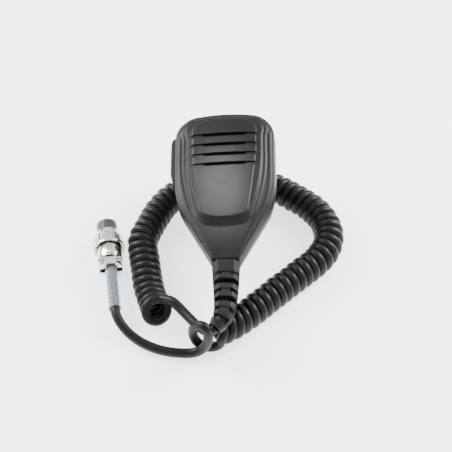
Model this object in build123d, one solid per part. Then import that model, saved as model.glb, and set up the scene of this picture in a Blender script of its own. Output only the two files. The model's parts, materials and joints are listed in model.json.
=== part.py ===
from build123d import *
from math import cos, pi, radians, sin, tan
import os

# Hand microphone with a curly cord and an 8-pin plug, lying as it rests on a table.
# Millimetres, +Z up.  The case is built in its own frame (u across, v from neck to top,
# w out of the front) and tilted into place; the plug is built along its own axis.
# World heights are first counted from the table, then moved to the row origin.

# ---------------------------------------------------------------- driving dimensions
case_length = 106.5
case_half_width = 31.8
neck_half_width = 8.8
wall = 2.2
front_edge_height = 5.2
front_edge_slope = 0.047
neck_panel_height = 7.0
neck_panel_slope = 0.056
pad_height = 9.97
pad_slope = 0.0404
pad_dome_rise = 1.3
pad_half_width = 19.9
rear_edge_depth = 6.2
rear_edge_slope = 0.04
rear_depth = 8.0
rear_slope = 0.085

slot_count = 4
slot_pitch = 7.3
first_slot_v = 65.9
groove_length = 42.4
groove_height = 3.1
groove_depth = 1.5
opening_length = 26.6
opening_height = 1.8

neck_height = 26.0        # of the neck's centre above the table
case_tilt = 10.0          # degrees, top end up
case_roll = 5.0           # degrees, right side up

cord_diameter = 6.0
coil_diameter = 19.8
coil_height = coil_diameter / 2

screw_places = [(-19.5, 94.0), (19.5, 94.0), (-12.5, 24.0), (12.5, 24.0)]
screw_radius = 1.45
element_v = 77.0
board_low, board_high = -5.4, -3.8
board_screw_places = (-9, 9)
board_screw_v = 95.0

ptt_low, ptt_high = 61.6, 94.2
ptt_half_thickness = 4.4
ptt_pivot = (-26.8, 90.0)
ptt_pin_radius = 0.75
plunger_v = 70.0
plunger_w = -0.8

button_v = 82.0
button_height = 6.3

plug_height = 9.9
plug_heading = 7.1        # degrees from +Y towards -X
sleeve_end = (-67.2, -20.5)
sleeve_length = 31.0
insert_radius = 6.5
insert_key_depth = 2.2
insert_screw_z = 14.0

# Row origin: the centre of the box round the microphone without its cord, seen from the neck
row_origin = (-1.59, 28.32, 37.86)

# Boot axis, lead, coil and strand: hand-placed corner points, heights from the table
boot_route = [(0, 0, 26), (0.1, -15, 23.4), (-0.4, -31.2, 25.2), (-1.6, -39.8, 25.0), (-6.6, -46.6, 22.8)]
lead_route = [(-6.6, -46.6, 22.8), (-9.7, -50.0, 21.6), (-14.3, -49.6, 20.6), (-19.8, -38.6, 18.8),
              (-24.8, -30.8, 18.4), (-30.0, -24.4, 19.0), (-36.5, -21.0, 17.0)]
coil_route = [(-40.2, -24.8, 11.4), (-44.6, -15.4, coil_height), (-48.4, 1.5, coil_height),
              (-50.4, 18.5, coil_height), (-53.4, 33.5, coil_height), (-47.6, 49.5, coil_height),
              (-39.2, 69.5, coil_height), (-21.0, 84.5, coil_height), (2.0, 88.0, coil_height),
              (25.0, 86.5, coil_height), (44.0, 73.5, coil_height), (60.0, 59.0, coil_height),
              (66.5, 39.5, coil_height), (60.5, 21.5, coil_height), (46.0, 7.5, coil_height),
              (29.0, -9.0, coil_height), (11.5, -27.0, coil_height), (-3.0, -38.0, coil_height),
              (-17.0, -43.0, coil_height)]
strand_route = [(-14.0, -46.0, 4.6), (-22.0, -51.0, 3.1), (-34.5, -49.8, 3.1), (-46.0, -45.2, 3.1),
                (-56.6, -37.8, 4.8), (-63.3, -31.6, 7.6), (-66.70, -24.47, 9.9), (-67.57, -17.52, 9.9)]

os.makedirs("parts", exist_ok=True)


# ---------------------------------------------------------------- helpers
def case_place():
    return Pos(0, 0, neck_height) * Rot(X=case_tilt) * Rot(Y=-case_roll)


def sloped_plane(height, slope, offset=0.0):
    """Plane across the case at w = height + slope * v, its x along u."""
    length = (1 + slope * slope) ** 0.5
    return Plane(origin=(0, 0, height + offset), x_dir=(1, 0, 0), z_dir=(0, -slope / length, 1 / length))


def flip(point):
    return (-point[0], point[1])


def mirrored_outline(bottom, flank, shoulder, top_v, bow=0.0, corner=None):
    """Closed face, the same left and right: corner, flank and shoulder are three-point arcs."""
    (f0, f1, f2), (s0, s1, s2) = flank, shoulder
    base = ThreePointArc(flip(bottom), (0, bottom[1] - bow), bottom) if bow else Line(flip(bottom), bottom)
    right_foot = ThreePointArc(bottom, corner, f0) if corner else Line(bottom, f0)
    left_foot = ThreePointArc(flip(f0), flip(corner), flip(bottom)) if corner else Line(flip(f0), flip(bottom))
    edges = [
        base,
        right_foot,
        ThreePointArc(f0, f1, f2),
        Line(f2, s0),
        ThreePointArc(s0, s1, s2),
        ThreePointArc(s2, (0, top_v), flip(s2)),
        ThreePointArc(flip(s2), flip(s1), flip(s0)),
        Line(flip(s0), flip(f2)),
        ThreePointArc(flip(f2), flip(f1), flip(f0)),
        left_foot,
    ]
    return make_face(edges)


def case_outline(inset=0.0):
    face = mirrored_outline(
        (neck_half_width, 0),
        ((28.0, 37.0), (30.9, 48.0), (case_half_width, 60)),
        ((case_half_width, 87), (29.4, 97.6), (21.5, 104.2)),
        case_length,
    )
    return offset(face, -inset) if inset else face


def bevel_outline():
    """Inner edge of the front's outer bevel; it also bounds the flat neck panel."""
    return mirrored_outline(
        (6.9, 0.5),
        ((17.6, 30.0), (23.7, 51.0), (25.8, 76.0)),
        ((25.8, 88.0), (24.4, 97.4), (19.0, 102.4)),
        104.0,
    )


def pad_outline(bottom, corner, flank_start, flank_middle, half, top_v):
    """Outline of the raised pad at one level, its foot bowed and its lower corners rounded."""
    return mirrored_outline(
        bottom,
        (flank_start, flank_middle, (half, 76.0)),
        ((half, 88.0), (half - 1.3, top_v - 4.5), (half - 5.0, top_v - 1.4)),
        top_v,
        bow=1.25,
        corner=corner,
    )


def pad_foot():
    return pad_outline((11.5, 24.4), (15.3, 27.0), (17.8, 32.0), (23.1, 49.5), 25.5, 103.6)


def pad_rim():
    return pad_outline((10.5, 27.9), (14.2, 30.6), (16.6, 35.0), (20.6, 52.0), 23.1, 102.0)


def pad_face():
    return pad_outline((9.8, 28.6), (12.9, 30.4), (14.4, 34.4), (17.0, 52.0), pad_half_width, 100.2)


def on(plane, face):
    return plane.location * face


def slab(face, low, high):
    return Pos(0, 0, low) * extrude(face, high - low)


def rod(u, v, low, high, radius):
    return Pos(u, v, (low + high) / 2) * Cylinder(radius, high - low)


def block(u0, u1, v0, v1, w0, w1):
    return Pos((u0 + u1) / 2, (v0 + v1) / 2, (w0 + w1) / 2) * Box(u1 - u0, v1 - v0, w1 - w0)


def below(height, slope, offset=0.0):
    """Half-space block under a sloped plane."""
    return sloped_plane(height, slope, offset).location * (Pos(0, 50, -60) * Box(120, 200, 120))


def arc_radii(points):
    """Largest tangent arcs: 0.45 of the shorter run over the tangent of half the turn."""
    radii = []
    for before, here, after in zip(points, points[1:], points[2:]):
        run_in = Vector(*here) - Vector(*before)
        run_out = Vector(*after) - Vector(*here)
        half_turn = radians(run_in.get_angle(run_out)) / 2
        radii.append(0.45 * min(run_in.length, run_out.length) / tan(half_turn))
    return radii


def route_path(points):
    return FilletPolyline(*points, radius=arc_radii(points))


def tube(points, radius, name):
    """Round tube along a route, with its radii and volume printed."""
    path = route_path(points)
    section = Plane(origin=path @ 0, z_dir=path % 0) * Circle(radius)
    solid = sweep(section, path=path)
    expected = pi * radius * radius * path.length
    radii = [round(value, 1) for value in arc_radii(points)]
    print(f"{name}: length {path.length:.1f}, radii {radii}, volume ratio {solid.volume / expected:.4f}")
    return solid


# ---------------------------------------------------------------- case
def pad_dome(lowered=0.0):
    """Long cylinder whose top is the pad's gently arched face."""
    radius = (pad_half_width ** 2 + pad_dome_rise ** 2) / (2 * pad_dome_rise)
    top = sloped_plane(pad_height + pad_dome_rise, pad_slope, -lowered)
    return top.location * (Pos(0, 50, -radius) * Rot(X=90) * Cylinder(radius, 220))


def front_solid():
    edge = sloped_plane(front_edge_height, front_edge_slope)
    bevel = sloped_plane(neck_panel_height, neck_panel_slope)
    shoulder = sloped_plane(pad_height, pad_slope, -0.9)
    walls = loft([case_outline(), on(edge, case_outline(0.6))])
    outer_bevel = loft([on(edge, case_outline(0.6)), on(bevel, bevel_outline())], ruled=True)
    foot = on(bevel, pad_foot())
    rim = on(shoulder, pad_rim())
    pad_edge = on(sloped_plane(pad_height, pad_slope), pad_face())
    pad = loft([foot, rim], ruled=True) + loft([rim, pad_edge], ruled=True)
    dome = extrude(pad_edge, 3) & pad_dome()
    return walls + outer_bevel + pad + dome


def slot_v(index):
    return first_slot_v + index * slot_pitch


def make_front_case():
    outside = front_solid()
    low_room = slab(case_outline(wall), -1, 30) & below(front_edge_height, front_edge_slope, -1.6)
    mid_room = slab(offset(bevel_outline(), -1.2), 0, 30) & below(neck_panel_height, neck_panel_slope, -wall)
    pad_room = slab(offset(pad_rim(), -1.6), 0, 30)
    pad_room &= below(pad_height, pad_slope, -wall)
    neck_wall = block(-20, 20, -1, 2.6, -1, 20)
    shell = outside - ((low_room + mid_room + pad_room) - neck_wall)
    posts = rod(0, element_v, 5.5, 14, 8.6) - rod(0, element_v, 5, 10.2, 7.15)
    for u, v in screw_places:
        posts += rod(u, v, 0, 14, 3.0) - rod(u, v, -1, 6.5, screw_radius + 0.05)
    for u in board_screw_places:
        posts += rod(u, board_screw_v, board_high, 14, 2.6) - rod(u, board_screw_v, -8, 2.5, 1.12)
    shell += posts & outside
    for index in range(slot_count):
        band = block(-groove_length / 2, groove_length / 2, slot_v(index) - groove_height / 2,
                     slot_v(index) + groove_height / 2, 5, 30)
        shell -= band - pad_dome(groove_depth)
        shell -= block(-opening_length / 2, opening_length / 2, slot_v(index) - 0.3,
                       slot_v(index) - 0.3 + opening_height, 5, 30)
    shell -= block(-40, -25, ptt_low - 0.6, ptt_high + 0.6, -1, ptt_half_thickness + 0.5)
    shell += rod(*ptt_pivot, 3.5, 9.6, 2.1)
    shell -= rod(*ptt_pivot, -1, 7.0, ptt_pin_radius + 0.01)
    shell -= block(-5.0, 5.0, -1, 3, -1, 4.0)
    return shell


def make_rear_case():
    edge = sloped_plane(-rear_edge_depth, -rear_edge_slope)
    back = sloped_plane(-rear_depth, -rear_slope)
    shell = loft([case_outline(), on(edge, case_outline(0.7))])
    shell += loft([on(edge, case_outline(0.7)), on(back, case_outline(5.0))], ruled=True)
    room = slab(case_outline(wall), -30, 1) - below(-rear_edge_depth, -rear_edge_slope, 1.4)
    room += slab(case_outline(5.4), -30, 1) - below(-rear_depth, -rear_slope, wall)
    shell -= room - block(-20, 20, -1, 2.6, -30, 1)
    for u, v in screw_places:
        shell += (rod(u, v, -14, 0, 3.7)) - below(-rear_depth, -rear_slope, 0.6)
        shell -= rod(u, v, -20, 1, screw_radius + 0.15)
        shell -= rod(u, v, -25, -4.5, 2.9)
    seat = Cylinder(4.5, 5.5, align=(Align.CENTER, Align.CENTER, Align.MIN))
    hole = Cylinder(1.5, 14, align=(Align.CENTER, Align.CENTER, Align.CENTER))
    shell += button_place() * seat
    shell -= button_place() * hole
    shell -= block(-40, -25, ptt_low - 0.6, ptt_high + 0.6, -ptt_half_thickness - 0.5, 1)
    shell += rod(*ptt_pivot, -12.5, -3.5, 2.1)
    shell -= rod(*ptt_pivot, -7.0, 1, ptt_pin_radius + 0.01)
    shell -= block(-5.0, 5.0, -1, 3, -4.0, 1)
    return shell


def make_case_screws():
    screws = []
    for u, v in screw_places:
        shank = rod(u, v, -4.6, 6.0, screw_radius)
        head = rod(u, v, -6.6, -4.5, 2.6) - block(u - 0.45, u + 0.45, v - 2, v + 2, -7, -5.8)
        screws.append(shank + head - block(u - 2, u + 2, v - 0.45, v + 0.45, -7, -5.8))
    return screws


# ---------------------------------------------------------------- push-to-talk
def make_ptt_lever():
    profile = Polyline((-30.2, ptt_low), (-33.6, ptt_low + 1.2), (-34.9, ptt_low + 4.4), (-34.9, 88.2),
                       (-34.2, 92.2), (-32.4, ptt_high), (-30.2, ptt_high), close=True)
    bar = slab(make_face(profile), -ptt_half_thickness, ptt_half_thickness)
    outer_edges = bar.edges().filter_by(lambda edge: edge.center().X < -31)
    bar = chamfer(outer_edges.filter_by(GeomType.LINE).group_by(SortBy.LENGTH)[-1], 0.5)
    pivot_u, pivot_v = ptt_pivot
    arm = block(-30.5, pivot_u, pivot_v - 1.9, pivot_v + 1.9, -3.2, 3.2) + rod(*ptt_pivot, -3.2, 3.2, 1.9)
    nub = block(-30.5, -28.6, plunger_v - 1.5, plunger_v + 1.5, plunger_w - 1.5, plunger_w + 1.5)
    return bar + arm + nub - rod(*ptt_pivot, -5, 5, ptt_pin_radius + 0.05)


def make_switch_body():
    body = block(-26.3, -20.0, 64.0, 76.0, board_high, 2.2)
    bore = Pos(-26.3, plunger_v, plunger_w) * Rot(Y=90) * Cylinder(1.25, 6)
    pins = [block(-22.0, -21.2, v - 0.4, v + 0.4, board_low - 1.2, board_high) for v in (66, 70, 74)]
    return Compound([body - bore] + pins)


def make_switch_plunger():
    return Pos((-28.3 - 24.6) / 2, plunger_v, plunger_w) * Rot(Y=90) * Cylinder(1.2, 28.3 - 24.6)


# ---------------------------------------------------------------- inside the case
def board_outline():
    return make_face(Polyline((-14, 44), (14, 44), (23.5, 54), (23.5, 90), (14, 98), (-14, 98), (-19, 88),
                              (-19, 54), close=True))


def make_board():
    board = slab(board_outline(), board_low, board_high) + block(-26.0, -18, 62, 78, board_low, board_high)
    for u, v in screw_places:
        board -= rod(u, v, -8, 0, 4.2)
    for v in (66, 70, 74):
        board -= block(-22.1, -21.1, v - 0.5, v + 0.5, -8, 0)
    for u in board_screw_places:
        board -= rod(u, board_screw_v, -8, 0, 1.2)
    return board


def make_board_screws():
    screws = []
    for u in board_screw_places:
        head = rod(u, board_screw_v, board_low - 1.4, board_low, 2.0)
        screws.append(head + rod(u, board_screw_v, board_low, 1.5, 1.1))
    return screws


def make_element():
    can = rod(0, element_v, 3.6, 9.6, 4.85)
    pads = [rod(u, element_v, 3.2, 3.6, 0.9) for u in (-1.6, 1.6)]
    return can + pads[0] + pads[1]


def make_element_holder():
    ring = rod(0, element_v, 3.0, 9.9, 7.1) - rod(0, element_v, 3.6, 12, 4.9)
    return ring - rod(0, element_v, 2, 4, 3.4)


def make_dust_cloth():
    middle_v = slot_v((slot_count - 1) / 2)
    sheet = block(-15.5, 15.5, middle_v - 14.0, middle_v + 14.0, -0.5, 0)
    sheet = sloped_plane(pad_height, pad_slope, -wall - 0.02).location * sheet
    return sheet - rod(0, element_v, 0, 20, 8.7)


def make_amplifier_chip():
    body = block(6.0, 10.0, 57.5, 62.5, board_high + 0.2, board_high + 1.7)
    for row in (5.1, 10.0):
        for step in range(4):
            v = 58.1 + 1.27 * step
            body += block(row, row + 0.9, v - 0.2, v + 0.2, board_high, board_high + 0.7)
    return body


def make_capacitors():
    return [rod(u, v, board_high, board_high + 5.4, 2.5) for u, v in ((-8, 66), (-13, 59), (14, 72))]


def make_resistors():
    places = [(u, 86.5) for u in (-6, -2, 2, 6)] + [(u, 53.0) for u in (-9, 12, 15)]
    return [block(u - 0.6, u + 0.6, v - 1.0, v + 1.0, board_high, board_high + 0.6) for u, v in places]


def make_wire_header():
    housing = block(-6.5, 6.5, 46.0, 50.5, board_high, board_high + 4.6)
    return housing - block(-5.7, 5.7, 45.0, 49.3, board_high + 1.0, board_high + 3.8)


def header_wire(index):
    start_u = -4.5 + 3.0 * index
    end_u = -1.35 + 0.9 * index
    points = [(start_u, 48.6, -1.4), (start_u, 38.0, -1.4), ((start_u + end_u) / 2, 26.0, -1.0), (end_u, 13.8, 0)]
    path = route_path(points)
    return sweep(Plane(origin=path @ 0, z_dir=path % 0) * Circle(0.4), path=path)


def make_header_wires():
    return [header_wire(index) for index in range(4)]


def make_cord_clip():
    ring = Pos(0, 8.6, 0) * Rot(X=90) * Cylinder(4.3, 3.0)
    ear = block(-1.4, 1.4, 7.1, 10.1, 3.5, 4.7)
    return ring + ear - Pos(0, 8.6, 0) * Rot(X=90) * Cylinder(cord_diameter / 2 + 0.02, 8)


# ---------------------------------------------------------------- hanger button
def button_place():
    """Frame on the case's back, its z along the back's normal towards the front."""
    return sloped_plane(-rear_depth, -rear_slope).location * Pos(0, button_v, 0)


def make_hanger_button():
    stem = Cylinder(4.0, button_height - 2.6, align=(Align.CENTER, Align.CENTER, Align.MAX))
    head = Pos(0, 0, -(button_height - 2.6)) * Cylinder(7.5, 2.6, align=(Align.CENTER, Align.CENTER, Align.MAX))
    head = chamfer(head.edges().filter_by(GeomType.CIRCLE), 0.6)
    button = stem + head - Cylinder(1.55, 30)
    return button - Pos(0, 0, -button_height) * Cylinder(3.0, 4.4)


def make_hanger_screw():
    head = Pos(0, 0, -button_height + 0.4) * Cylinder(2.7, 1.7, align=(Align.CENTER, Align.CENTER, Align.MIN))
    shank = Pos(0, 0, -button_height + 2.0) * Cylinder(1.45, 8.6, align=(Align.CENTER, Align.CENTER, Align.MIN))
    cross = Box(3.6, 0.8, 1.6) + Box(0.8, 3.6, 1.6)
    return head + shank - Pos(0, 0, -button_height + 0.4) * cross


# ---------------------------------------------------------------- boot and cord
boot_width_points = [(-1, 8.6), (8, 8.2), (17, 7.6), (25, 7.1), (32, 6.6), (38, 6.0), (45, 5.2), (60, 4.2)]
boot_rings = [(0.15, 8.2), (10.8, 14.2), (18.2, 22.6), (25.4, 28.8), (32.6, 36.0), (38.4, 41.4)]
boot_core_radius = 3.6
boot_cone_start = 44.4


def boot_half_width(s):
    for (s0, h0), (s1, h1) in zip(boot_width_points, boot_width_points[1:]):
        if s <= s1:
            return h0 + (h1 - h0) * (s - s0) / (s1 - s0)
    return boot_width_points[-1][1]


def boot_section(path, s, scale=1.0):
    """Octagon across the boot's axis at distance s from the case."""
    half = boot_half_width(s) * scale
    height = half * 0.9
    cut = half * 0.42
    across = Plane(origin=path.position_at(s, PositionMode.LENGTH), x_dir=(1, 0, 0),
                   z_dir=path.tangent_at(s, PositionMode.LENGTH))
    corners = [(half, height - cut), (half - cut, height), (cut - half, height), (-half, height - cut),
               (-half, cut - height), (cut - half, -height), (half - cut, -height), (half, cut - height)]
    return across * make_face(Polyline(*corners, close=True))


def make_boot(path, cord_path):
    """Octagonal rings on a thin core, joined by bridges that change sides at each gap."""
    start = Plane(origin=path @ 0, z_dir=path % 0)
    body = sweep(start * Circle(boot_core_radius), path=path)
    for low, high in boot_rings:
        body += loft([boot_section(path, low), boot_section(path, high)])
    end_plane = Plane(origin=path @ 1, x_dir=(1, 0, 0), z_dir=path % 1)
    body += loft([boot_section(path, boot_cone_start), end_plane * Circle(4.3)])
    gaps = [(a[1], b[0]) for a, b in zip(boot_rings, boot_rings[1:])] + [(boot_rings[-1][1], boot_cone_start)]
    for index, (low, high) in enumerate(gaps):
        middle = (low + high) / 2
        half = boot_half_width(middle) - 0.5
        across = Plane(origin=path.position_at(middle, PositionMode.LENGTH), x_dir=(1, 0, 0),
                       z_dir=path.tangent_at(middle, PositionMode.LENGTH))
        size = (5.4, 1.8 * half, high - low + 1) if index % 2 == 0 else (2 * half, 4.2, high - low + 1)
        body += across.location * Box(*size)
    spigot = Pos(0, 1.0, 0) * Box(9.6, 3.4, 7.6) + Pos(0, 3.8, 0) * Box(13.0, 2.2, 9.2)
    body += case_place() * spigot
    bore = Plane(origin=cord_path @ 0, z_dir=cord_path % 0)
    return body - sweep(bore * Circle(cord_diameter / 2 + 0.02), path=cord_path)


# ---------------------------------------------------------------- plug
# Local frame: z along the plug towards its pins, 0 at the sleeve's front end, y down.
def plug_place():
    forward = Vector(-sin(radians(plug_heading)), cos(radians(plug_heading)), 0)
    rear = Vector(sleeve_end[0], sleeve_end[1], plug_height)
    return Plane(origin=rear + forward * sleeve_length, x_dir=forward.cross(Vector(0, 0, 1)), z_dir=forward).location


def disc(low, high, radius):
    return Pos(0, 0, (low + high) / 2) * Cylinder(radius, high - low)


def make_sleeve():
    return disc(-sleeve_length, 2.0, 3.9) - disc(-sleeve_length - 1, 3, cord_diameter / 2 + 0.15)


def make_plug_shell():
    barrel = disc(8.0, 16.5, 7.9) + disc(7.0, 8.0, 7.4) + disc(16.5, 20.2, 6.9)
    tray = disc(-0.5, 8.0, 7.4) & Pos(0, 4.4, 4) * Box(20, 6.8, 12)
    shell = barrel + tray - disc(-2, 8.5, 3.95) - disc(8.0, 22, 5.6)
    shell -= disc(19.1, 19.7, 8) - disc(19.0, 19.8, 6.5)
    shell -= Pos(0, -6.9, insert_screw_z) * Rot(X=90) * Cylinder(1.02, 4)
    for x in (-5.4, 5.4):
        shell -= Pos(x, 3, 4.0) * Rot(X=90) * Cylinder(1.0, 7.5)
    return shell


def make_retaining_ring():
    return disc(19.15, 19.65, 7.6) - disc(19, 20, 6.55) - Pos(0, 7, 19.4) * Box(2.4, 4, 2)


def make_cable_clamp():
    saddle = disc(0.6, 7.0, 7.2) & Pos(0, -3.6, 4) * Box(20, 5.0, 12)
    saddle = saddle - disc(-2, 9, 3.95)
    for x in (-5.4, 5.4):
        saddle -= Pos(x, -3, 4.0) * Rot(X=90) * Cylinder(1.1, 9)
        saddle -= Pos(x, -5.4, 4.0) * Rot(X=90) * Cylinder(1.9, 3.2)
    return saddle


def make_clamp_screws():
    screws = []
    for x in (-5.4, 5.4):
        head = Pos(x, -4.8, 4.0) * Rot(X=90) * Cylinder(1.8, 1.8)
        shank = Pos(x, -1.0, 4.0) * Rot(X=90) * Cylinder(0.95, 6.0)
        slot = Pos(x, -5.7, 4.0) * Box(4.0, 1.4, 0.6)
        screws.append(head + shank - slot)
    return screws


def make_coupling_nut():
    nut = disc(16.9, 18.9, 9.9) + disc(18.9, 26.4, 8.6) + disc(26.4, 29.6, 7.6)
    nut = nut - disc(16, 18.95, 7.0) - disc(18.95, 20.6, 7.9) - disc(20.6, 27.0, 7.3) - disc(27.0, 31, 6.95)
    grooves = 36
    for index in range(grooves):
        nut -= Rot(Z=360 / grooves * index) * Pos(8.7, 0, 22.6) * Box(0.7, 0.5, 6.0)
    return nut


def make_plug_insert():
    insert = disc(12.0, 20.2, 5.5) + disc(20.2, 29.8, 6.7) + disc(29.8, 38.0, insert_radius) - disc(11, 13.0, 4.6)
    insert -= Pos(insert_radius - 0.6, 0, 36.4) * Box(insert_key_depth, 4.0, 3.3)
    return insert - contact_bores(0.8)


def contact_places():
    ring = [(3.9 * cos(2 * pi * i / 7), 3.9 * sin(2 * pi * i / 7)) for i in range(7)]
    return ring + [(0, 0)]


def contact_bores(radius):
    bores = [Pos(x, y, 34) * Cylinder(radius, 9) for x, y in contact_places()]
    tool = bores[0]
    for bore in bores[1:]:
        tool += bore
    return tool


def make_contacts():
    return [Pos(x, y, 0) * (disc(29.6, 37.4, 0.78) - disc(33, 38, 0.5)) for x, y in contact_places()]


def make_insert_screw():
    return Pos(0, -6.9, insert_screw_z) * Rot(X=90) * (Cylinder(1.0, 1.8) - Pos(0, 0, 0.7) * Box(2.2, 0.4, 0.6))


# ---------------------------------------------------------------- assembly
def build_nodes():
    mic, plug = case_place(), plug_place()
    boot_path = route_path(boot_route)
    tail = (case_place() * Pos(0, 13.4, 0)).position
    cord_in_boot = route_path([tuple(tail)] + boot_route[1:])
    nodes = {}
    case_parts = {
        "front_case": [make_front_case()],
        "rear_case": [make_rear_case()],
        "case_screws": make_case_screws(),
        "dust_cloth": [make_dust_cloth()],
        "mic_element": [make_element()],
        "element_holder": [make_element_holder()],
        "circuit_board": [make_board()],
        "board_screws": make_board_screws(),
        "amplifier_chip": [make_amplifier_chip()],
        "capacitors": make_capacitors(),
        "resistors": make_resistors(),
        "wire_header": [make_wire_header()],
        "header_wires": make_header_wires(),
        "cord_clip": [make_cord_clip()],
        "ptt_lever": [make_ptt_lever()],
        "ptt_pin": [rod(*ptt_pivot, -6.8, 6.8, ptt_pin_radius)],
        "switch_body": [make_switch_body()],
        "switch_plunger": [make_switch_plunger()],
    }
    for name, solids in case_parts.items():
        nodes[name] = [mic * solid for solid in solids]
    nodes["hanger_button"] = [mic * button_place() * make_hanger_button()]
    nodes["hanger_screw"] = [mic * button_place() * make_hanger_screw()]
    nodes["strain_relief"] = [make_boot(boot_path, cord_in_boot)]
    nodes["inner_cord"] = [tube([tuple(tail)] + boot_route[1:], cord_diameter / 2, "inner_cord")]
    nodes["lead_cord"] = [tube(lead_route, cord_diameter / 2, "lead_cord")]
    nodes["coiled_cord"] = [tube(coil_route, coil_diameter / 2, "coiled_cord")]
    nodes["plug_cord"] = [tube(strand_route, cord_diameter / 2, "plug_cord")]
    cord_front = Vector(*strand_route[-1]) - plug.position
    tail_length = -cord_front.length
    plug_parts = {
        "cord_tail": [disc(tail_length, 9.5, cord_diameter / 2)],
        "clear_sleeve": [make_sleeve()],
        "plug_shell": [make_plug_shell()],
        "cable_clamp": [make_cable_clamp()],
        "clamp_screws": make_clamp_screws(),
        "coupling_nut": [make_coupling_nut()],
        "plug_insert": [make_plug_insert()],
        "contacts": make_contacts(),
        "insert_screw": [make_insert_screw()],
        "retaining_ring": [make_retaining_ring()],
    }
    for name, solids in plug_parts.items():
        nodes[name] = [plug * solid for solid in solids]
    return nodes


to_row = Pos(*[-value for value in row_origin])
nodes = build_nodes()
for name, solids in nodes.items():
    placed = [to_row * solid for solid in solids]
    shape = placed[0] if len(placed) == 1 else Compound(placed)
    export_step(shape, f"parts/{name}.step")
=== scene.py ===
"""Looks of the hand microphone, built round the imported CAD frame."""
import bisect
import json
import math

import bmesh
import bpy
import numpy as np
from mathutils import Matrix, Vector


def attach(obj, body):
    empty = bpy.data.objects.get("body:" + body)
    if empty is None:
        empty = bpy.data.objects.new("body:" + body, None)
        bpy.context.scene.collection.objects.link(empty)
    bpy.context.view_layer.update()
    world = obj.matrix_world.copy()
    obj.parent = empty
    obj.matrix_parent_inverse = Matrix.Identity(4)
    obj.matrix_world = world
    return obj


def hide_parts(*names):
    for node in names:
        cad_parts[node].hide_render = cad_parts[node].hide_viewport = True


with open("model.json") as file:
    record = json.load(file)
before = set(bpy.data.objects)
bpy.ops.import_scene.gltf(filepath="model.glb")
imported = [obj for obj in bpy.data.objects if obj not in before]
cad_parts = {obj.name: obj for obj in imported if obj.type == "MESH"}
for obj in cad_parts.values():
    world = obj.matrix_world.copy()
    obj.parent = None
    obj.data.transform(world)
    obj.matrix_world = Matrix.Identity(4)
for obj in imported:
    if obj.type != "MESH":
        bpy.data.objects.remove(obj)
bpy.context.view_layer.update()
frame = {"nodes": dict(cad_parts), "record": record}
nodes = frame["nodes"]

MM = 0.001
ROW_ORIGIN = Vector((-1.59, 28.32, 37.86))
FLOOR_Z = -ROW_ORIGIN.z * MM


def table(x, y, z):
    """A point given in millimetres from the table's own origin, in the row frame."""
    return (Vector((x, y, z)) - ROW_ORIGIN) * MM


def grey(level):
    return (level, level, level, 1.0)


def show(piece):
    """Puts a new object in the scene."""
    bpy.context.scene.collection.objects.link(piece)
    return piece


# ------------------------------------------------------------------ camera, floor, light
LENS = 118.3
CAMERA_PLACE = (0.0, -596.3, 700.5)
CAMERA_TILT = math.radians(43.0)
FLOOR_HALF = 4.0
FLOOR_GLOW = 1.9
SKY_STRENGTH = 1.7
# How bright the sky is, by height: dim at the horizon, bright around, dim overhead.
SKY_LEVELS = ((0.05, 0.16), (0.45, 1.0), (0.8, 0.95), (0.93, 0.3), (1.0, 0.3))
SIDE_BOX_SIZE = (0.35, 0.6)
# The small spot that brightens the middle of the pad.
SPOT_AIM = (-3.0, 46.0, 42.0)
SPOT_OFFSET = Vector((-0.152, 0.337, 0.929)) * 1.1
SPOT_POWER = 46.0
SPOT_CONE = math.radians(3.2)
SPOT_RADIUS = 0.012


def make_camera():
    data = bpy.data.cameras.new("camera")
    data.lens = LENS
    data.sensor_width = 36.0
    data.clip_start = 0.05
    data.clip_end = 20.0
    camera = show(bpy.data.objects.new("camera", data))
    camera.location = table(*CAMERA_PLACE)
    camera.rotation_euler = (CAMERA_TILT, 0.0, 0.0)
    bpy.context.scene.camera = camera


def pointed(direction):
    """The rotation of a lamp that shines that way."""
    return direction.to_track_quat("-Z", "Y").to_euler()


def area_light(name, place, size, power):
    """A rectangular soft box that shines at the middle of the object."""
    data = bpy.data.lights.new(name, "AREA")
    data.shape = "RECTANGLE"
    data.size, data.size_y = size
    data.energy = power
    light = show(bpy.data.objects.new(name, data))
    light.location = place
    light.rotation_euler = pointed(-Vector(place))


def spot_light(name, aim, offset):
    data = bpy.data.lights.new(name, "SPOT")
    data.energy = SPOT_POWER
    data.spot_size = SPOT_CONE
    data.spot_blend = 1.0
    data.shadow_soft_size = SPOT_RADIUS
    light = show(bpy.data.objects.new(name, data))
    light.location = aim + offset
    light.rotation_euler = pointed(aim - light.location)


def make_floor():
    mesh = bpy.data.meshes.new("floor")
    corners = [(x * FLOOR_HALF, y * FLOOR_HALF, FLOOR_Z) for x, y in ((-1, -1), (1, -1), (1, 1), (-1, 1))]
    mesh.from_pydata(corners, [], [(0, 1, 2, 3)])
    floor = show(bpy.data.objects.new("floor", mesh))
    material = bpy.data.materials.new("floor_paper")
    material.use_nodes = True
    inputs = material.node_tree.nodes["Principled BSDF"].inputs
    inputs["Base Color"].default_value = grey(0.96)
    inputs["Roughness"].default_value = 0.9
    inputs["Specular IOR Level"].default_value = 0.1
    inputs["Emission Color"].default_value = grey(1.0)
    inputs["Emission Strength"].default_value = FLOOR_GLOW
    mesh.materials.append(material)


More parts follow.
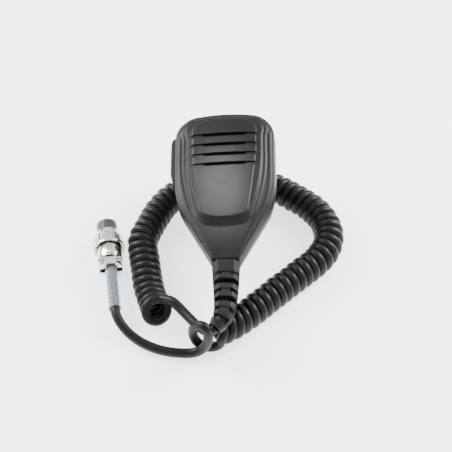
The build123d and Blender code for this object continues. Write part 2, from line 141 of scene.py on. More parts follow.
def make_sky():
    world = bpy.data.worlds.new("studio")
    world.use_nodes = True
    sky = world.node_tree
    background = sky.nodes["Background"]
    background.inputs["Color"].default_value = grey(1.0)
    direction = sky.nodes.new("ShaderNodeTexCoord")
    split = sky.nodes.new("ShaderNodeSeparateXYZ")
    level = sky.nodes.new("ShaderNodeValToRGB")
    stops = level.color_ramp.elements
    for stop, (height, share) in zip(stops, (SKY_LEVELS[0], SKY_LEVELS[-1])):
        stop.position = height
        stop.color = grey(share)
    for height, share in SKY_LEVELS[1:-1]:
        stops.new(height).color = grey(share)
    strength = sky.nodes.new("ShaderNodeMath")
    strength.operation = "MULTIPLY"
    strength.inputs[1].default_value = SKY_STRENGTH
    sky.links.new(direction.outputs["Generated"], split.inputs["Vector"])
    sky.links.new(split.outputs["Z"], level.inputs["Fac"])
    sky.links.new(level.outputs["Color"], strength.inputs[0])
    sky.links.new(strength.outputs["Value"], background.inputs["Strength"])
    bpy.context.scene.world = world


make_camera()
make_floor()
make_sky()
area_light("top_box", (-0.18, 0.4, 1.1), (0.5, 0.4), 1.5)
spot_light("panel_spot", table(*SPOT_AIM), SPOT_OFFSET)
area_light("left_box", (-0.78, 0.42, 0.62), SIDE_BOX_SIZE, 17.0)
area_light("right_box", (0.78, 0.42, 0.62), SIDE_BOX_SIZE, 22.0)


# ------------------------------------------------------------------ materials
class Graph:
    """A material's nodes, with short ways to add and join them."""

    def __init__(self, name):
        self.material = bpy.data.materials.new(name)
        self.material.use_nodes = True
        self.tree = self.material.node_tree
        self.shader = self.tree.nodes["Principled BSDF"]
        self.coordinates = self.add("ShaderNodeTexCoord").outputs["Object"]

    def add(self, kind, **settings):
        node = self.tree.nodes.new(kind)
        for key, value in settings.items():
            setattr(node, key, value)
        return node

    def join(self, source, target):
        self.tree.links.new(source, target)

    def feed(self, source, name):
        """Joins an output to one of the shader's inputs."""
        self.join(source, self.shader.inputs[name])

    def set(self, **values):
        for key, value in values.items():
            self.shader.inputs[key.replace("_", " ")].default_value = value

    def noise(self, scale, detail=3.0):
        """Noise whose scale is in features per metre."""
        node = self.add("ShaderNodeTexNoise")
        node.inputs["Scale"].default_value = scale
        node.inputs["Detail"].default_value = detail
        node.inputs["Roughness"].default_value = 0.6
        self.join(self.coordinates, node.inputs["Vector"])
        return node.outputs["Fac"]

    def ramp(self, source, low, high, from_low=0.3, from_high=0.7):
        """Maps a noise's middle range to two grey levels or two colours."""
        node = self.add("ShaderNodeValToRGB")
        stops = node.color_ramp.elements
        stops[0].position = from_low
        stops[1].position = from_high
        for stop, value in zip(stops, (low, high)):
            stop.color = (*value, 1.0) if hasattr(value, "__len__") else grey(value)
        self.join(source, node.inputs["Fac"])
        return node.outputs["Color"]

    def bump(self, layers, rounding=0.0):
        """Bump from (height, strength, distance) layers, over edges rounded by that radius."""
        normal = None
        if rounding:
            bevel = self.add("ShaderNodeBevel", samples=4)
            bevel.inputs["Radius"].default_value = rounding
            normal = bevel.outputs["Normal"]
        for height, strength, distance in layers:
            node = self.add("ShaderNodeBump")
            node.inputs["Strength"].default_value = strength
            node.inputs["Distance"].default_value = distance
            self.join(height, node.inputs["Height"])
            if normal is not None:
                self.join(normal, node.inputs["Normal"])
            normal = node.outputs["Normal"]
        self.feed(normal, "Normal")


GRAIN_DEPTH = 0.00005
SCRATCH_DEPTH = 0.00002
THREAD_DEPTH = 0.00008
THREAD_PITCH = 0.0006
METAL_ROUNDING = 0.00015
# How far the painted crevice shade of the metals reaches, in metres.
PAINTED_SHADE_REACH = 0.0022


def moulded(name, dark, light, rough=(0.45, 0.6), grain=2600.0, strength=0.5, rounding=0.0003, specular=0.5):
    """Moulded plastic or rubber: fine grain, faint mottling, rubbed patches."""
    g = Graph(name)
    g.set(Specular_IOR_Level=specular)
    g.feed(g.ramp(g.noise(90.0, 4.0), dark, light), "Base Color")
    g.feed(g.ramp(g.noise(160.0, 5.0), *rough), "Roughness")
    g.bump([(g.noise(grain, 2.0), strength, GRAIN_DEPTH),
            (g.noise(grain * 0.3, 2.0), strength * 0.3, GRAIN_DEPTH * 2)], rounding)
    return g.material


def metal(name, colour, tint, rough=(0.16, 0.3), scratch=0.2):
    """Plated or turned metal with fine scratches, a slight tarnish and painted shade darkening its crevices.
    """
    g = Graph(name)
    g.set(Metallic=1.0)
    # Painted shade: an ambient occlusion mask darkens the base colour in crevices.
    painted_crevice_shade = g.add("ShaderNodeAmbientOcclusion", samples=8)
    painted_crevice_shade.inputs["Distance"].default_value = PAINTED_SHADE_REACH
    shade_painted_colour = g.add("ShaderNodeMix", data_type="RGBA", blend_type="MULTIPLY")
    factor, first, second = (shade_painted_colour.inputs[index] for index in (0, 6, 7))
    factor.default_value = 1.0
    g.join(g.ramp(g.noise(220.0, 5.0), tint, colour), first)
    g.join(g.ramp(painted_crevice_shade.outputs["AO"], 0.02, 1.0, 0.45, 0.95), second)
    g.feed(shade_painted_colour.outputs[2], "Base Color")
    g.feed(g.ramp(g.noise(700.0, 4.0), *rough), "Roughness")
    g.bump([(g.noise(1800.0, 3.0), scratch, SCRATCH_DEPTH)], METAL_ROUNDING)
    return g.material


def woven(name, colour):
    """Thin cloth: two crossed sets of threads."""
    g = Graph(name)
    g.set(Roughness=0.9)
    g.feed(g.ramp(g.noise(300.0), [c * 0.7 for c in colour], colour), "Base Color")
    layers = []
    for direction in ("X", "Y"):
        wave = g.add("ShaderNodeTexWave", bands_direction=direction)
        wave.inputs["Scale"].default_value = 1.0 / THREAD_PITCH / 3.2
        g.join(g.coordinates, wave.inputs["Vector"])
        layers.append((wave.outputs["Fac"], 0.6, THREAD_DEPTH))
    g.bump(layers)
    return g.material


def translucent(name, colour):
    """Soft vinyl that the cord shows through."""
    g = Graph(name)
    g.set(Transmission_Weight=0.86, IOR=1.2, Specular_IOR_Level=0.5)
    g.feed(g.ramp(g.noise(140.0, 3.0), [c * 0.96 for c in colour], colour), "Base Color")
    g.feed(g.ramp(g.noise(260.0, 4.0), 0.06, 0.12), "Roughness")
    g.bump([(g.noise(500.0, 2.0), 0.05, 0.00003)])
    return g.material


# One material for each of the record's slots.
MATERIALS = {
    "case": moulded("case_plastic", (0.006, 0.0057, 0.0068), (0.009, 0.0086, 0.0102), (0.385, 0.415),
                    rounding=0.0, specular=0.2),
    "lever": moulded("lever_plastic", (0.008, 0.0077, 0.009), (0.012, 0.0117, 0.0135), (0.4, 0.5),
                     specular=0.32),
    "boot": moulded("boot_vinyl", (0.004, 0.0039, 0.0045), (0.007, 0.0068, 0.0078), (0.42, 0.52),
                    grain=1500.0, specular=0.26),
    "cord": moulded("cord_jacket", (0.0035, 0.0034, 0.004), (0.006, 0.0058, 0.0067), (0.36, 0.46),
                    grain=1900.0, strength=0.25, rounding=0.0, specular=0.2),
    "rubber": moulded("holder_rubber", (0.02, 0.02, 0.02), (0.035, 0.035, 0.035), (0.6, 0.75)),
    "chip": moulded("epoxy", (0.012, 0.012, 0.013), (0.03, 0.03, 0.03), (0.5, 0.7)),
    "nylon": moulded("nylon", (0.5, 0.48, 0.42), (0.62, 0.6, 0.54), (0.4, 0.55)),
    "header": moulded("header_nylon", (0.66, 0.64, 0.56), (0.76, 0.74, 0.66), (0.35, 0.5)),
    "phenolic": moulded("insert_phenolic", (0.018, 0.016, 0.015), (0.04, 0.036, 0.033), (0.3, 0.45)),
    "board": moulded("board_epoxy", (0.012, 0.09, 0.03), (0.02, 0.13, 0.05), (0.25, 0.4), grain=1200.0),
    "wires": moulded("wire_jacket", (0.35, 0.02, 0.02), (0.5, 0.04, 0.03), (0.35, 0.5)),
    "nickel": metal("bright_nickel", (0.80, 0.77, 0.71), (0.62, 0.59, 0.54), (0.08, 0.18), scratch=0.06),
    "plated": metal("button_nickel", (0.74, 0.73, 0.70), (0.6, 0.58, 0.55)),
    "screw": metal("zinc_steel", (0.55, 0.55, 0.54), (0.36, 0.36, 0.36), (0.3, 0.45)),
    "element": metal("drawn_can", (0.7, 0.7, 0.7), (0.55, 0.55, 0.55), (0.25, 0.4)),
    "can": metal("capacitor_can", (0.6, 0.6, 0.62), (0.45, 0.45, 0.48), (0.25, 0.4)),
    "pins": metal("gold_flash", (0.85, 0.65, 0.3), (0.7, 0.5, 0.2), (0.2, 0.35)),
    "cloth": woven("dust_cloth", (0.02, 0.02, 0.022)),
    "sleeve": translucent("milky_vinyl", (0.72, 0.78, 0.86)),
}


def paint(piece, slot):
    piece.data.materials.clear()
    piece.data.materials.append(MATERIALS[slot])


for part in frame["record"]["subparts"]:
    paint(nodes[part["node"]], part["material_slot"])

# The radius that each CAD piece's edges are rounded by, in metres.
EDGE_RADII = {"strain_relief": 0.0006, "ptt_lever": 0.0008, "coupling_nut": 0.00025,
              "plug_shell": 0.00025, "cable_clamp": 0.0003, "hanger_button": 0.0004}


def soften(piece, radius):
    """Rounds the moulded or turned edges of a CAD piece."""
    weld = piece.modifiers.new("weld", "WELD")
    weld.merge_threshold = 0.00001
    bevel = piece.modifiers.new("bevel", "BEVEL")
    bevel.width = radius
    bevel.segments = 3
    bevel.limit_method = "ANGLE"
    bevel.angle_limit = math.radians(35.0)
    bevel.use_clamp_overlap = True
    bevel.harden_normals = True


for name, radius in EDGE_RADII.items():
    soften(nodes[name], radius)


# ------------------------------------------------------------------ case halves
# The case's own frame: u across, v from the neck to the top, w out of the front, in millimetres.
NECK_PLACE = table(0.0, 0.0, 26.0)
PITCH, ROLL = math.radians(10.0), math.radians(-5.0)
CASE_FRAME = (Matrix.Translation(NECK_PLACE) @ Matrix.Rotation(PITCH, 4, "X") @ Matrix.Rotation(ROLL, 4, "Y")
              @ Matrix.Scale(MM, 4))
FRONT, REAR = 1.0, -1.0
GRID_STEP = 0.25
GRID_U = np.arange(0.0, 36.0, GRID_STEP)
GRID_V = np.arange(-4.0, 111.0, GRID_STEP)
WALL = 2.2
RIM_FILLET = 1.3
DRAFT = {FRONT: 0.5, REAR: 1.05}
SHELL_POINTS = 480
FILLET_RINGS = 7
OUTER_RINGS = 104
INNER_RINGS = 16
# The rings of the shell close on this stretch of the middle line.
SPINE_V = (12.0, 80.0)
SHARP_ANGLE = math.radians(42.0)

# Heights over the parting plane as (at the neck, rise per millimetre towards the top).
EDGE_W = (5.2, 0.047)
BEVEL_W = (7.0, 0.056)
PAD_W = (9.97, 0.0404)
REAR_EDGE_W = (6.2, 0.04)
REAR_RISE_W = (1.8, 0.045)
# How far in from the outline the front bevel and the rear shoulder start, and how wide the shoulder is.
FRONT_INSET, REAR_INSET, REAR_SHOULDER = 0.6, 0.7, 4.3
BEVEL_CROWN = 0.5
# The pad's side sags by the first figure, and by both where the ridges are.
PAD_SAG = (0.1, 0.4)
# The ridges beside the pad are (height, width), and start and end at (v, length of the fade).
RIDGES_START, RIDGES_END = (28.0, 10.0), (96.0, 12.0)
VALLEY, VALLEY_OUT = (0.6, 0.9), 1.5
FOOT_RIDGE = (0.24, 0.5)
RIM_RIDGE = (0.16, 0.35)
FACE_STEP = 0.55
DOME_RISE, DOME_HALF, DOME_LIFT = 0.85, 19.9, 0.35
FRONT_BLUR, REAR_BLUR = 0.22, 0.8

SLOT_COUNT, SLOT_FIRST_V, SLOT_PITCH = 4, 65.9, 7.3
# Each slot is a shallow groove with a narrower one through the wall, as (half length, half width, depth).
SLOT = (21.4, 1.6, 1.15)
THROUGH_SLOT, THROUGH_SHIFT = (13.3, 0.85, 6.0), 0.7
# The lever's window and the cord's opening, as boxes in each half.
LEVER_LOW, LEVER_HIGH = (-40.0, 61.0), (-25.0, 94.8)
FRONT_OPENINGS = (((*LEVER_LOW, -1.0), (*LEVER_HIGH, 4.9)), ((-5.0, -1.0, -1.0), (5.0, 3.0, 4.0)))
REAR_OPENINGS = (((*LEVER_LOW, -4.9), (*LEVER_HIGH, 1.0)), ((-5.0, -1.0, -4.0), (5.0, 3.0, 1.0)))
SCREW_PLACES = ((-19.5, 94.0), (19.5, 94.0), (-12.5, 24.0), (12.5, 24.0))
CAPSULE_V = 77.0
# Turned shapes, as (radius, height) points.
SCREW_RECESS = ((2.9, -30.0), (2.9, -4.5))
FELT_PROFILE = ((0.2, 9.62), (4.35, 9.62), (4.5, 9.74), (4.3, 9.94), (3.4, 10.02), (0.2, 10.06))


def arc(first, middle, last, count=14):
    """Points on the circle through three points, from the first to just before the last."""
    (ax, ay), (bx, by), (cx, cy) = first, middle, last
    d = 2 * (ax * (by - cy) + bx * (cy - ay) + cx * (ay - by))
    a2, b2, c2 = ax * ax + ay * ay, bx * bx + by * by, cx * cx + cy * cy
    x = (a2 * (by - cy) + b2 * (cy - ay) + c2 * (ay - by)) / d
    y = (a2 * (cx - bx) + b2 * (ax - cx) + c2 * (bx - ax)) / d
    radius = math.hypot(ax - x, ay - y)
    start, end = math.atan2(ay - y, ax - x), math.atan2(cy - y, cx - x)
    turn = (end - start + math.pi) % (2 * math.pi) - math.pi
    angles = [start + turn * i / count for i in range(count)]
    return [(x + radius * math.cos(angle), y + radius * math.sin(angle)) for angle in angles]


def half_outline(bottom, flank, shoulder, top_v, bow=0.0, corner=None):
    """The right half of an outline, from the middle of its foot to the middle of its top."""
    flip = (-shoulder[2][0], shoulder[2][1])
    half = [(0.0, bottom[1] - bow)]
    if bow:
        half = [point for point in arc((-bottom[0], bottom[1]), half[0], bottom) if point[0] >= -1e-6]
    half += arc(bottom, corner, flank[0]) if corner else [bottom]
    half += arc(*flank) + [flank[2]] + arc(*shoulder)
    half += [point for point in arc(shoulder[2], (0.0, top_v), flip, 40) if point[0] > 0.01]
    return np.array(half + [(0.0, top_v)])


def pad_outline(bottom, corner, flank_start, flank_middle, half, top_v):
    """One of the pad's outlines: a bowed foot, then a straight side from v 76 to v 88."""
    flank = (flank_start, flank_middle, (half, 76.0))
    shoulder = ((half, 88.0), (half - 1.3, top_v - 4.5), (half - 5.0, top_v - 1.4))
    return half_outline(bottom, flank, shoulder, top_v, 1.25, corner)


CASE = half_outline((8.8, 0.0), ((28.0, 37.0), (30.9, 48.0), (31.8, 60.0)),
                    ((31.8, 87.0), (29.4, 97.6), (21.5, 104.2)), 106.5)
BEVEL = half_outline((6.9, 0.5), ((17.6, 30.0), (23.7, 51.0), (25.8, 76.0)),
                     ((25.8, 88.0), (24.4, 97.4), (19.0, 102.4)), 104.0)
PAD_FOOT = pad_outline((11.5, 24.4), (15.3, 27.0), (17.8, 32.0), (23.1, 49.5), 25.5, 103.6)
PAD_RIM = pad_outline((10.5, 27.9), (14.2, 30.6), (16.6, 35.0), (20.6, 52.0), 23.1, 102.0)
PAD_FACE = pad_outline((9.8, 28.6), (12.9, 30.4), (14.4, 34.4), (17.0, 52.0), 19.9, 100.2)


def closed(half):
    """The whole outline from its right half."""
    return np.concatenate([half, half[-2:0:-1] * np.array([-1.0, 1.0])])


def inside_distance(half):
    """Distance of each grid point from an outline, positive inside it."""
    u, v = np.meshgrid(GRID_U, GRID_V)
    loop = closed(half)
    best = np.full(u.shape, 1e9)
    crossings = np.zeros(u.shape, int)
    for (x0, y0), (x1, y1) in zip(loop, np.roll(loop, -1, axis=0)):
        dx, dy = x1 - x0, y1 - y0
        share = np.clip(((u - x0) * dx + (v - y0) * dy) / max(dx * dx + dy * dy, 1e-12), 0, 1)
        best = np.minimum(best, (u - x0 - share * dx) ** 2 + (v - y0 - share * dy) ** 2)
        if y0 != y1:
            crossings += ((y0 > v) != (y1 > v)) & (u < x0 + dx * (v - y0) / dy)
    return np.sqrt(best) * np.where(crossings % 2 == 1, 1.0, -1.0)


def between(outer, inner):
    """0 on the outer outline and 1 on the inner one."""
    return np.clip(outer / np.maximum(outer - inner, 1e-6), 0.0, 1.0)


def blurred(grid, radius):
    """Rounds the grid's creases over about that many millimetres."""
    reach = int(3 * radius / GRID_STEP)
    weights = np.exp(-0.5 * (np.arange(-reach, reach + 1) * GRID_STEP / radius) ** 2)
    weights /= weights.sum()
    wide = np.pad(grid, reach, mode="edge")
    wide[:, :reach] = wide[:, 2 * reach:reach:-1]
    for axis in (0, 1):
        wide = np.apply_along_axis(lambda line: np.convolve(line, weights, "valid"), axis, wide)
    return wide


def sloped(levels, v):
    """A level that rises evenly with v, from (its start, its rise)."""
    return levels[0] + levels[1] * v


def ridge(size, distance):
    """A soft ridge of that (height, width) where the distance is 0."""
    height, width = size
    return height * np.exp(-(distance / width) ** 2)


def pad_dome(u, v, lowered=0.0):
    """The height of the pad's face, which is crowned across."""
    radius = (DOME_HALF * DOME_HALF + DOME_RISE * DOME_RISE) / (2 * DOME_RISE)
    crown = DOME_RISE - radius + np.sqrt(np.maximum(radius * radius - u * u, 0.0))
    return sloped(PAD_W, v) + DOME_LIFT - lowered + crown


def front_heights():
    """The front's height over the right half of the case."""
    u, v = np.meshgrid(GRID_U, GRID_V)
    case, bevel = inside_distance(CASE) - FRONT_INSET, inside_distance(BEVEL)
    foot, rim, face = inside_distance(PAD_FOOT), inside_distance(PAD_RIM), inside_distance(PAD_FACE)
    edge_w, bevel_w, pad_w = sloped(EDGE_W, v), sloped(BEVEL_W, v), sloped(PAD_W, v)
    rim_w = pad_w - FACE_STEP
    share = between(case, bevel)
    height = edge_w + (bevel_w - edge_w) * share + BEVEL_CROWN * np.sin(math.pi * share)
    (start, start_fade), (end, end_fade) = RIDGES_START, RIDGES_END
    flank = np.clip((v - start) / start_fade, 0, 1) * np.clip((end - v) / end_fade, 0, 1)
    height = height - flank * ridge(VALLEY, foot + VALLEY_OUT)
    share = between(foot, rim)
    step = bevel_w + (rim_w - bevel_w) * share - sloped(PAD_SAG, flank) * np.sin(math.pi * share)
    height = np.where(foot > 0, step, height) + flank * ridge(FOOT_RIDGE, foot) + ridge(RIM_RIDGE, rim)
    height = np.where(rim > 0, rim_w + FACE_STEP * between(rim, face), height)
    height = np.where(face > 0, np.maximum(pad_dome(u, v), pad_w), height)
    return blurred(height, FRONT_BLUR)


def rear_heights():
    """The rear's depth over the right half of the case."""
    _, v = np.meshgrid(GRID_U, GRID_V)
    share = np.clip((inside_distance(CASE) - REAR_INSET) / REAR_SHOULDER, 0.0, 1.0)
    return blurred(sloped(REAR_EDGE_W, v) + sloped(REAR_RISE_W, v) * share, REAR_BLUR)


def height_at(grid, places):
    """The grid's height at each place, read between its points."""
    x = np.clip(np.abs(places[:, 0]) / GRID_STEP, 0, len(GRID_U) - 1.001)
    y = np.clip((places[:, 1] - GRID_V[0]) / GRID_STEP, 0, len(GRID_V) - 1.001)
    i, j = x.astype(int), y.astype(int)
    fx, fy = x - i, y - j
    low = grid[j, i] * (1 - fx) + grid[j, i + 1] * fx
    high = grid[j + 1, i] * (1 - fx) + grid[j + 1, i + 1] * fx
    return low * (1 - fy) + high * fy


def even_loop(half, count):
    """The closed outline with evenly spaced points, the same left and right, and its inward normals."""
    along = np.concatenate([[0.0], np.cumsum(np.linalg.norm(np.diff(half, axis=0), axis=1))])
    at = np.linspace(0.0, along[-1], count // 2 + 1)
    even = closed(np.stack([np.interp(at, along, half[:, k]) for k in range(2)], axis=1))
    ahead = np.roll(even, -1, axis=0) - np.roll(even, 1, axis=0)
    ahead /= np.linalg.norm(ahead, axis=1)[:, None]
    return even, np.stack([-ahead[:, 1], ahead[:, 0]], axis=1)


def shell_rings(heights, side):
    """Rings of points from the parting line over the outside to the middle, then back along the inside.

    Also returns the index of the last outer ring, which isn't joined to the ring after it.
    """
    loop, inward = even_loop(CASE, SHELL_POINTS)
    spine = np.stack([loop[:, 0] * 0.0, np.clip(loop[:, 1], *SPINE_V)], axis=1)

    def ring(inset, rise):
        return np.column_stack([loop + inward * inset, side * rise * np.ones(len(loop))])

    def surface(start, share, drop=0.0):
        places = start + (spine - start) * share
        return np.column_stack([places, side * (height_at(heights, places) - drop)])

    draft = DRAFT[side]
    shoulder = loop + inward * (draft + RIM_FILLET)
    fillet_w = height_at(heights, shoulder) - RIM_FILLET
    rings = [ring(0.25, 0.02), ring(0.04, 0.22), ring(0.0, 0.5)]
    rings += [ring(draft * share, fillet_w * share) for share in (0.35, 0.7)]
    for step in range(FILLET_RINGS):
        angle = math.pi / 2 * step / FILLET_RINGS
        inset = draft + RIM_FILLET * (1 - math.cos(angle))
        rings.append(ring(inset, fillet_w + RIM_FILLET * math.sin(angle)))
    rings += [surface(shoulder, step / OUTER_RINGS) for step in range(OUTER_RINGS + 1)]
    crest = len(rings) - 1
    hollow = loop + inward * WALL
    rings += [surface(hollow, step / INNER_RINGS, WALL) for step in range(INNER_RINGS, -1, -1)]
    rings.append(ring(WALL, 0.02))
    return rings, crest


def box_between(low, high):
    corners = [[(low, high)[(index >> axis) & 1][axis] for axis in range(3)] for index in range(8)]
    faces = [(0, 2, 3, 1), (4, 5, 7, 6), (0, 1, 5, 4), (2, 6, 7, 3), (0, 4, 6, 2), (1, 3, 7, 5)]
    return corners, faces


def turned(u, v, profile, count):
    """A solid turned about a line out of the front, from (radius, height) points."""
    angles = [2 * math.pi * i / count for i in range(count)]
    corners = [(u + radius * math.cos(angle), v + radius * math.sin(angle), w)
               for radius, w in profile for angle in angles]
    faces = [tuple(range(count - 1, -1, -1)), tuple(range((len(profile) - 1) * count, len(profile) * count))]
    for row in range(len(profile) - 1):
        faces += band(row, row + 1, count)
    return corners, faces


def band(row, following, count):
    """The faces between two rings of that many points."""
    return [(row * count + i, row * count + (i + 1) % count,
             following * count + (i + 1) % count, following * count + i) for i in range(count)]


def groove_tool(middle_v, half_length, half_width, lowered):
    """A slot cutter whose floor follows the pad's dome, with slightly drafted sides and rounded ends."""
    steps, draft, top = 24, 0.22, 30.0
    corners, faces = [], []
    for step in range(steps + 1):
        u = -half_length + 2 * half_length * step / steps
        end = min(1.0, max(0.0, half_length - abs(u)) / 2.0)
        wide = half_width * (0.5 + 0.5 * math.sqrt(end))
        floor = float(pad_dome(0.75 * u, middle_v, lowered))
        corners += [(u, middle_v - wide + draft, floor), (u, middle_v + wide - draft, floor),
                    (u, middle_v + wide, floor + 3.0), (u, middle_v - wide, floor + 3.0),
                    (u, middle_v + wide, top), (u, middle_v - wide, top)]
    order = [0, 1, 2, 4, 5, 3]
    faces.append(tuple(reversed(order)))
    faces.append(tuple(steps * 6 + i for i in order))
    for step in range(steps):
        for a, b in zip(order, order[1:] + order[:1]):
            faces.append((step * 6 + a, step * 6 + b, step * 6 + 6 + b, step * 6 + 6 + a))
    return corners, faces


def mesh_object(name, corners, faces):
    mesh = bpy.data.meshes.new(name)
    mesh.from_pydata([tuple(corner) for corner in corners], [], faces)
    made = bmesh.new()
    made.from_mesh(mesh)
    bmesh.ops.remove_doubles(made, verts=made.verts, dist=1e-4)
    bmesh.ops.recalc_face_normals(made, faces=made.faces)
    made.to_mesh(mesh)
    made.free()
    return show(bpy.data.objects.new(name, mesh))


def cut(piece, tools):
    """Takes each (corners, faces) tool away from the piece, one after another."""
    for corners, faces in tools:
        tool = mesh_object("tool", corners, faces)
        step = piece.modifiers.new("cut", "BOOLEAN")
        step.operation = "DIFFERENCE"
        step.solver = "EXACT"
        step.object = tool
        kept = bpy.data.meshes.new_from_object(piece.evaluated_get(bpy.context.evaluated_depsgraph_get()))
        piece.modifiers.clear()
        piece.data = kept
        bpy.data.objects.remove(tool)


def finish_piece(piece, slot):
    """Takes a piece from the case's frame to the row's, and gives it its material and its body."""
    piece.data.transform(CASE_FRAME)
    piece.data.shade_smooth()
    piece.data.set_sharp_from_angle(angle=SHARP_ANGLE)
    paint(piece, slot)
    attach(piece, "microphone")


def make_half(name, heights, side, tools):
    rings, crest = shell_rings(heights, side)
    faces = []
    for row in range(len(rings)):
        if row != crest:
            faces += band(row, (row + 1) % len(rings), SHELL_POINTS)
    piece = mesh_object(name, np.concatenate(rings), faces)
    cut(piece, tools)
    finish_piece(piece, "case")
    return piece


def make_case():
    front_tools = [box_between(*corners) for corners in FRONT_OPENINGS]
    for index in range(SLOT_COUNT):
        middle = SLOT_FIRST_V + SLOT_PITCH * index
        front_tools.append(groove_tool(middle, *SLOT))
        front_tools.append(groove_tool(middle + THROUGH_SHIFT, *THROUGH_SLOT))
    front = make_half("front_shell", front_heights(), FRONT, front_tools)
    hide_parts("front_case")
    rear_tools = [box_between(*corners) for corners in REAR_OPENINGS]
    rear_tools += [turned(u, v, SCREW_RECESS, 40) for u, v in SCREW_PLACES]
    rear = make_half("rear_shell", rear_heights(), REAR, rear_tools)
    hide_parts("rear_case")


def make_capsule_felt():
    """The black felt on the capsule's face, which shows through the slots."""
    finish_piece(mesh_object("capsule_felt", *turned(0.0, CAPSULE_V, FELT_PROFILE, 48)), "cloth")


make_case()
make_capsule_felt()


# ------------------------------------------------------------------ cord
CORD_RADIUS = 3.0 * MM
COIL_RADIUS = 6.75 * MM
TURN_PITCH = 5.8 * MM
POINTS_PER_TURN = 16
CURVE_STEPS = 3
START_PHASE, END_PHASE = math.radians(62.0), math.radians(180.0)
# How much of the coil's route the loop at its plug end takes the place of.
COIL_END_GAP = 12.5 * MM
# The end turns lean by an angle that fades over a length of the coil.
START_LEAN, START_LEAN_REACH = math.radians(40.0), 20.0 * MM
END_LEAN, END_LEAN_REACH = math.radians(28.0), 18.0 * MM
# The first turn is wider, and all turns differ a little.
FLARE, FLARE_REACH = 0.22, 5.0 * MM
SLOW_WOBBLE, SLOW_RATE = 0.012, 310.0
FAST_WOBBLE, FAST_RATE = 0.01, 760.0

# The cord's route points, in millimetres from the table's origin.
COIL_ROUTE = [(-40.2, -24.8, 11.4), (-44.6, -15.4, 9.9), (-48.4, 1.5, 9.9), (-50.4, 18.5, 9.9),
              (-53.4, 33.5, 9.9), (-47.6, 49.5, 9.9), (-39.2, 69.5, 9.9), (-21.0, 84.5, 9.9), (2.0, 88.0, 9.9),
              (25.0, 86.5, 9.9), (44.0, 73.5, 9.9), (60.0, 59.0, 9.9), (66.5, 39.5, 9.9), (60.5, 21.5, 9.9),
              (46.0, 7.5, 9.9), (29.0, -9.0, 9.9), (11.5, -27.0, 9.9), (-3.0, -38.0, 9.9), (-17.0, -43.0, 9.9)]
LEAD_ROUTE = [(-6.6, -46.6, 22.8), (-8.8, -48.0, 21.4), (-13.2, -45.6, 19.6), (-19.8, -37.7, 18.6),
              (-24.4, -31.4, 18.2), (-28.4, -26.5, 19.0), (-32.4, -23.0, 20.4)]
LOOP_ROUTE = [(-3.4, -44.0, 4.6), (-8.0, -45.0, 3.1), (-13.4, -44.4, 3.1), (-17.8, -42.2, 5.0),
              (-19.9, -41.2, 11.4), (-19.4, -42.8, 18.8), (-15.6, -46.2, 26.1), (-11.6, -49.4, 27.2),
              (-10.1, -50.6, 21.4), (-10.6, -50.2, 14.4), (-13.2, -49.8, 8.4), (-17.6, -50.0, 4.6)]
# The straight end, whose last point is inside the plug.
STRAND_ROUTE = [(-23.6, -49.6, 3.1), (-34.0, -48.7, 3.1), (-44.6, -45.2, 3.1), (-54.6, -39.4, 4.2),
                (-62.6, -32.2, 7.4), (-66.70, -24.47, 9.9), (-67.57, -17.52, 9.9),
                (-72.26685, 20.18862, 9.9)]


def nurbs_curve(name, points, resolution):
    """A smooth open line with those control points."""
    curve = bpy.data.curves.new(name, "CURVE")
    curve.dimensions = "3D"
    spline = curve.splines.new("NURBS")
    spline.points.add(len(points) - 1)
    for control, place in zip(spline.points, points):
        control.co = (*place, 1.0)
    spline.order_u = 3
    spline.use_endpoint_u = True
    curve.resolution_u = resolution
    spline.resolution_u = resolution
    return curve


def line_of(points, resolution=24):
    """Points along the smooth line that has those control points."""
    holder = bpy.data.objects.new("line_holder", nurbs_curve("line_holder", points, resolution))
    mesh = bpy.data.meshes.new_from_object(holder)
    line = [vertex.co.copy() for vertex in mesh.vertices]
    bpy.data.meshes.remove(mesh)
    bpy.data.curves.remove(holder.data)
    return line


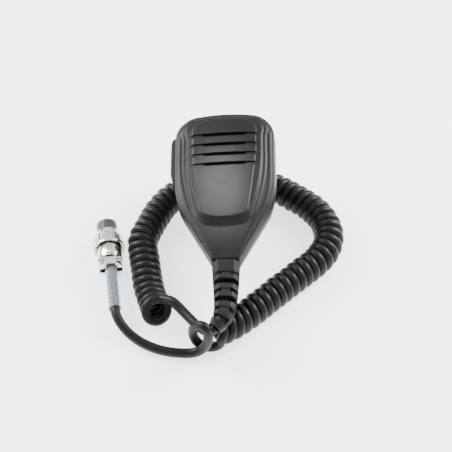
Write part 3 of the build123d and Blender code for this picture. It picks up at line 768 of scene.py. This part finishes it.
class Walk:
    """Places and directions by distance along a line."""

    REACH = 0.003

    def __init__(self, line):
        self.line = line
        self.along = [0.0]
        for a, b in zip(line, line[1:]):
            self.along.append(self.along[-1] + (b - a).length)
        self.length = self.along[-1]

    def at(self, distance):
        low = min(max(bisect.bisect_right(self.along, distance) - 1, 0), len(self.along) - 2)
        a, b = self.line[low], self.line[low + 1]
        share = (distance - self.along[low]) / max(self.along[low + 1] - self.along[low], 1e-9)
        return a.lerp(b, share)

    def direction(self, distance):
        ahead = self.at(min(distance + self.REACH, self.length))
        return (ahead - self.at(max(distance - self.REACH, 0.0))).normalized()


def fading(distance, reach):
    """1 at the start, falling to 0 over that distance."""
    return max(0.0, 1.0 - distance / reach)


def helix_points():
    """The coil's turns, left-handed, from its lead end to its last full turn."""
    walk = Walk(line_of([table(*place) for place in COIL_ROUTE]))
    last = walk.length - COIL_END_GAP
    turns = round(last / TURN_PITCH) + (END_PHASE - START_PHASE) / (2 * math.pi)
    steps = int(turns * POINTS_PER_TURN)
    points = []
    for step in range(steps + 1):
        share = step / steps
        distance = share * last
        ahead = walk.direction(distance)
        right = ahead.cross(Vector((0.0, 0.0, 1.0))).normalized()
        up = right.cross(ahead)
        lean = START_LEAN * fading(distance, START_LEAN_REACH)
        lean -= END_LEAN * fading(last - distance, END_LEAN_REACH)
        up = up * math.cos(lean) + ahead * math.sin(lean)
        phase = START_PHASE + 2 * math.pi * turns * share
        wobble = 1.0 + SLOW_WOBBLE * math.sin(distance * SLOW_RATE)
        wobble += FAST_WOBBLE * math.sin(distance * FAST_RATE + 1.0)
        radius = COIL_RADIUS * wobble * (1.0 + FLARE * fading(distance, FLARE_REACH))
        points.append(walk.at(distance) + (right * math.cos(phase) + up * math.sin(phase)) * radius)
    return points


def make_cord():
    """The whole cord as one spline, and its length."""
    loop_and_strand = [table(*place) for place in LOOP_ROUTE + STRAND_ROUTE]
    points = [table(*place) for place in LEAD_ROUTE] + helix_points() + loop_and_strand
    curve = nurbs_curve("curly_cord", points, CURVE_STEPS)
    curve.bevel_depth = CORD_RADIUS
    curve.bevel_resolution = 5
    curve.use_fill_caps = True
    cord = show(bpy.data.objects.new("curly_cord", curve))
    paint(cord, "cord")
    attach(cord, "microphone")
    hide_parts("lead_cord", "coiled_cord", "plug_cord", "cord_tail")
    return cord, Walk(line_of(points, CURVE_STEPS)).length


cord, cord_length = make_cord()
